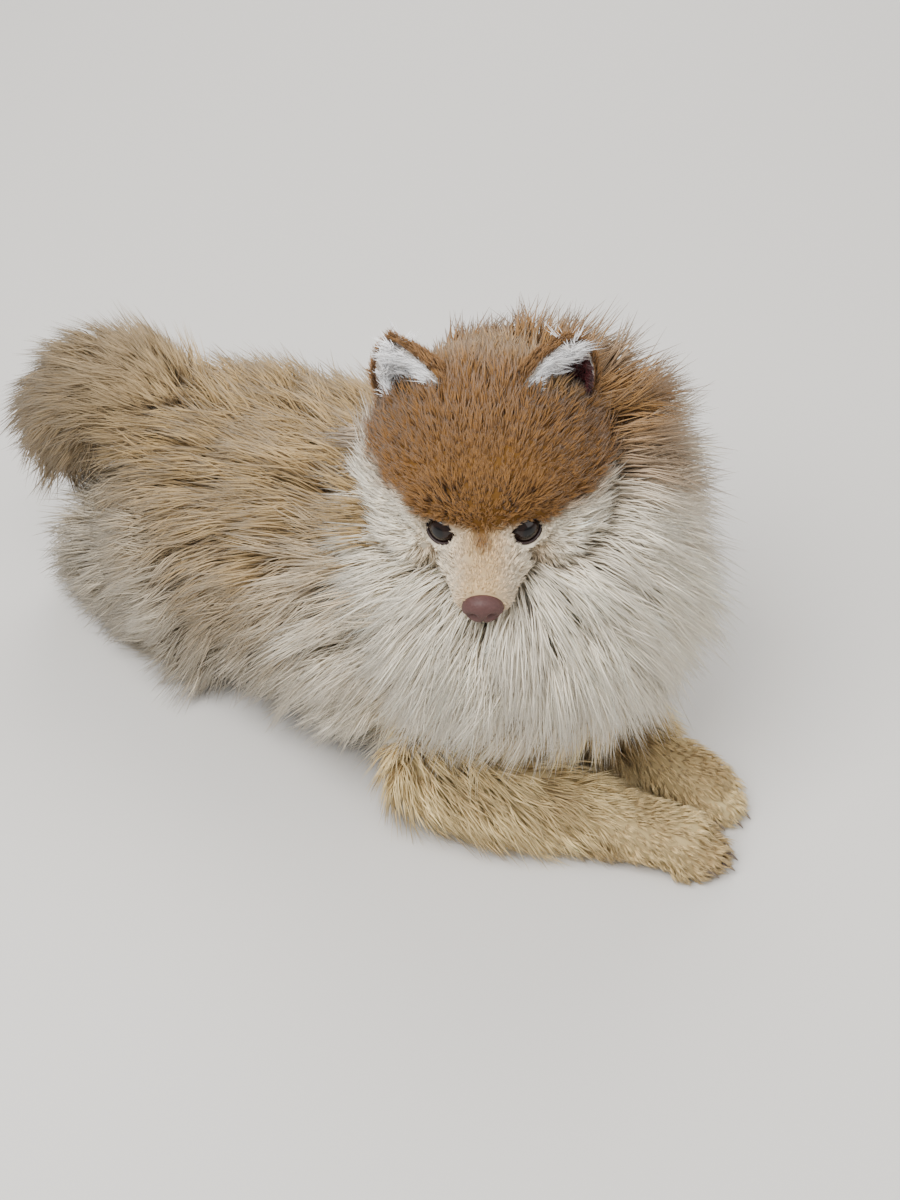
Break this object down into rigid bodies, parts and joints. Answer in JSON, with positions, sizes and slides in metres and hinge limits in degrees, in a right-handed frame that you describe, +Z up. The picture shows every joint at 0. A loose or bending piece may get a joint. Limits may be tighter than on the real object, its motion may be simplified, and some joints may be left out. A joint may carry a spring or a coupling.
{
  "type": "pomeranian puppy",
  "caption": "Life-size still model of a fluffy Pomeranian puppy lying on its belly, forelegs stretched out, head turned to its right and tail raised.",
  "frame": {"origin": "centre of the bounding box, on the floor", "axes": "+Z up, +X towards the dog's forepaws along its body, +Y towards the dog's left side"},
  "size_m": [0.3562, 0.1636, 0.1984],
  "materials": {
    "eye": "glossy, near-black brown",
    "nose": "moist, fine-grained, mauve brown",
    "ear_fur": "short soft fur, pale inside the cup",
    "head_fur": "short dense fur, golden brown cap and cream muzzle",
    "leg_fur": "short to medium fur, tan cream",
    "ruff_fur": "long soft fur in locks, cream white",
    "tail_fur": "long soft fur in locks, pale cream grey",
    "body_fur": "long soft fur in locks, cream tan"
  },
  "bodies": {
    "root": {"eye_right": "eye", "eye_left": "eye", "nose": "nose", "ear_right": "ear_fur", "ear_left": "ear_fur", "head": "head_fur", "foreleg_right": "leg_fur", "foreleg_left": "leg_fur", "neck": "ruff_fur", "hindleg_right": "leg_fur", "hindleg_left": "leg_fur", "tail": "tail_fur", "torso": "body_fur"}
  },
  "joints": []
}
